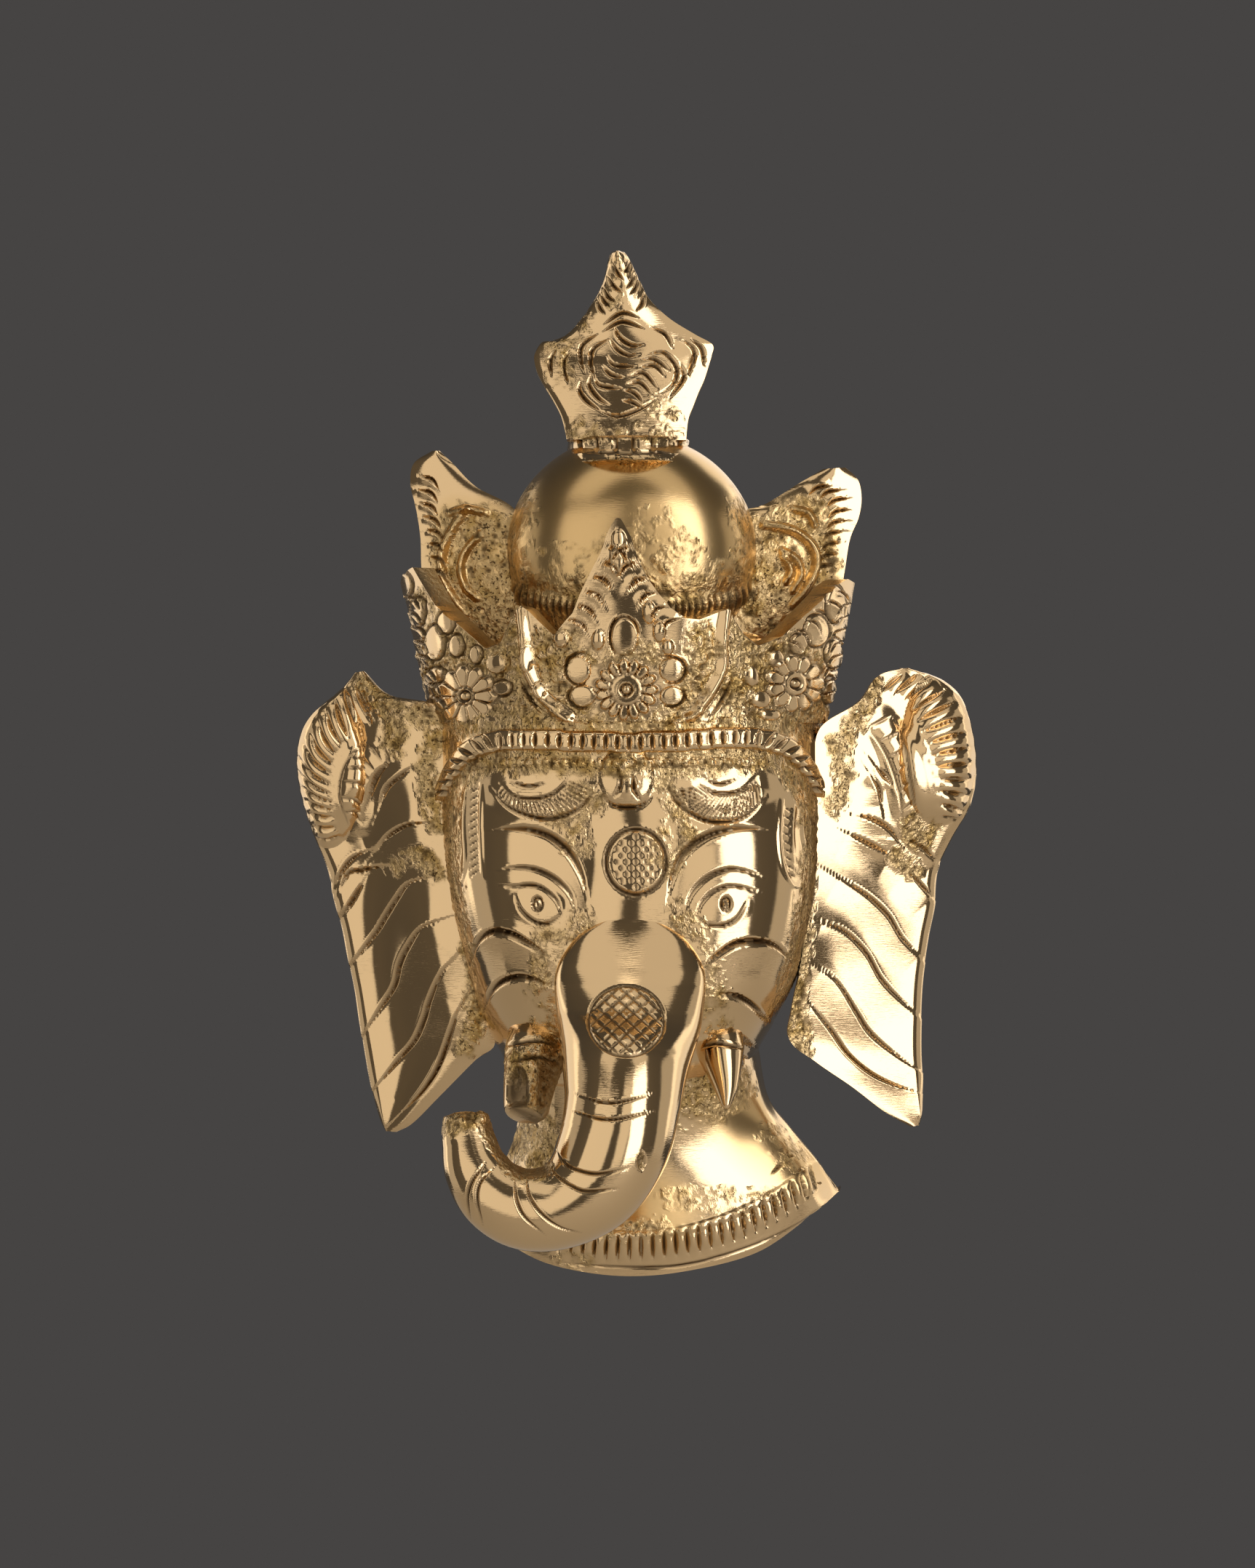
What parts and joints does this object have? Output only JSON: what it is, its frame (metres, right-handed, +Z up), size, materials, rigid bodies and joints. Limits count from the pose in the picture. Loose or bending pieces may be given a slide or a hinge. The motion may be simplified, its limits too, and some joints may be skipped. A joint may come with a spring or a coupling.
{
  "type": "ganesha wall hanging",
  "caption": "Cast brass elephant-headed mask for a wall, hollow at the back, with curled trunk, fan ears, tusks, leaf tiara, topknot, finial plate and bust rim",
  "frame": {"origin": "middle of the hanging bar's back face, in the plane of the wall, behind the middle of the topknot", "axes": "+Z up along the mask's height, -Y out of the wall towards the viewer, +X to the viewer's right"},
  "size_m": [0.1341, 0.0734, 0.1999],
  "materials": {
    "cast_brass": "polished by hand on the high faces, left rough and greenish as cast in the hollows, dark dirt in the cut lines"
  },
  "bodies": {
    "root": {"ganesha_mask": "cast_brass"}
  },
  "joints": []
}
